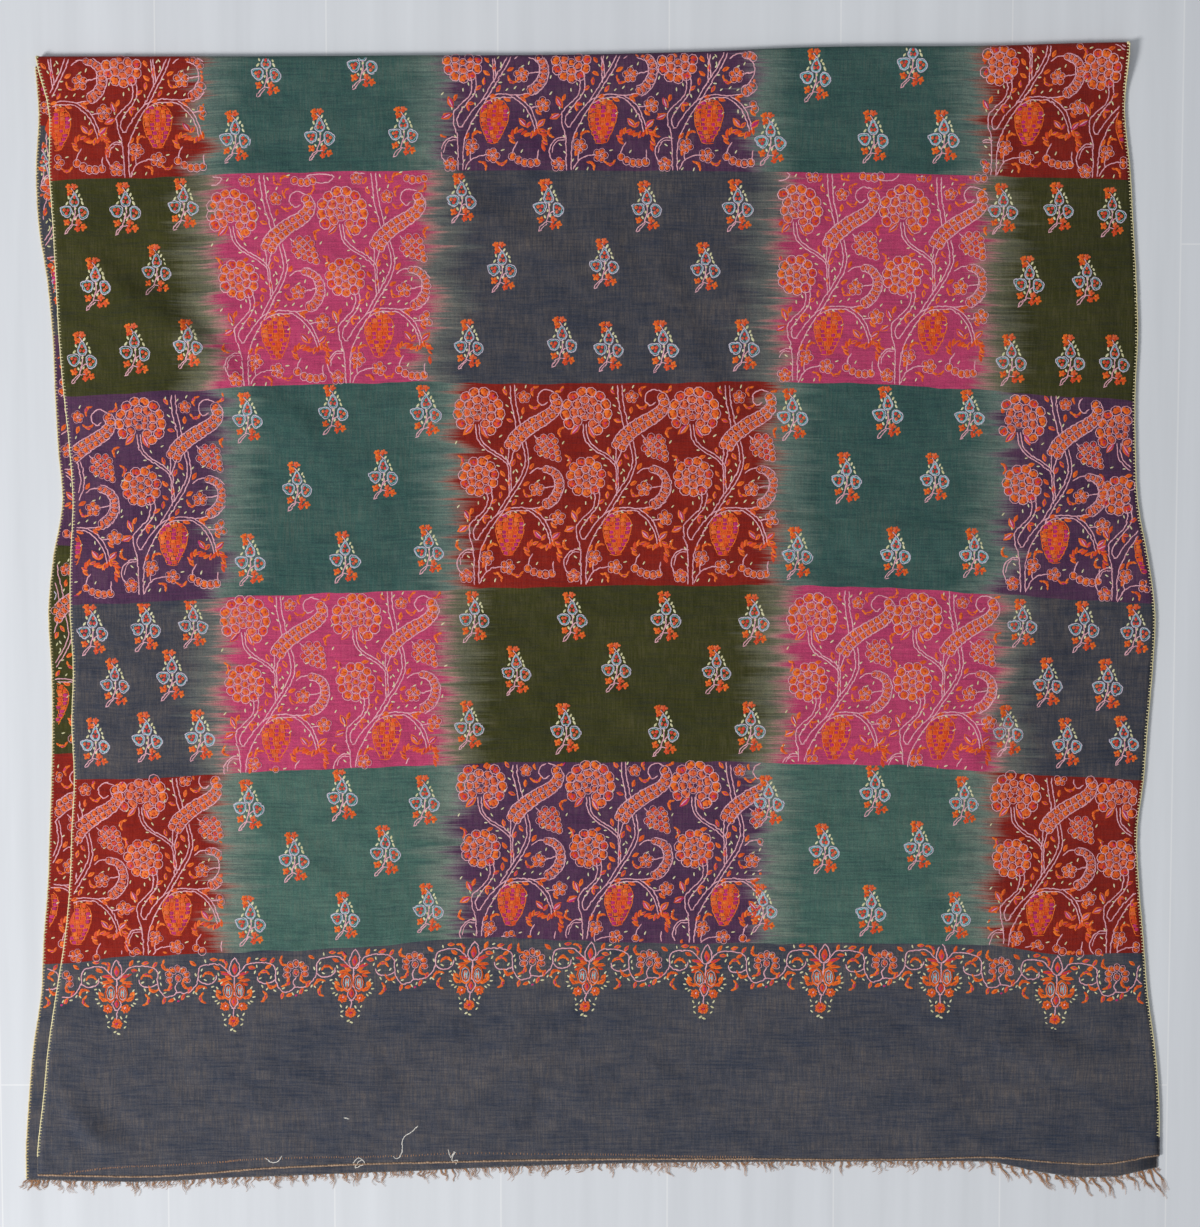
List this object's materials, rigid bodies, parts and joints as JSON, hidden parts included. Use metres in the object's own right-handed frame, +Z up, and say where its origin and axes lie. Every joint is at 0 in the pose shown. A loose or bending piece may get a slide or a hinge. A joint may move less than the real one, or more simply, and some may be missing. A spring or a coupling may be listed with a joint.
{
  "type": "folded embroidered shawl",
  "caption": "Large embroidered wool shawl with ikat checks and a fringed plain end, folded in half and laid flat.",
  "frame": {"origin": "middle of the folded shawl's box, on the surface it lies on", "axes": "+X to the right along the fold, +Y from the fringed ends to the fold, +Z up from the surface"},
  "size_m": [1.0476, 1.0564, 0.0103],
  "materials": {
    "upper_cloth": "soft matt wool, right side, ikat checks with silk embroidery",
    "under_cloth": "soft matt wool, wrong side",
    "edging_silk": "pale yellow silk blanket stitch",
    "hem_wool": "tan rolled and overcast wool end",
    "fringe_wool": "tan frayed warp ends"
  },
  "bodies": {
    "root": {"upper_layer": "upper_cloth", "upper_left_edging": "edging_silk", "upper_right_edging": "edging_silk", "upper_hem": "hem_wool", "lower_layer": "under_cloth", "lower_left_edging": "edging_silk", "lower_right_edging": "edging_silk", "lower_hem": "hem_wool", "short_fringe": "fringe_wool", "long_fringe": "fringe_wool"}
  },
  "joints": []
}
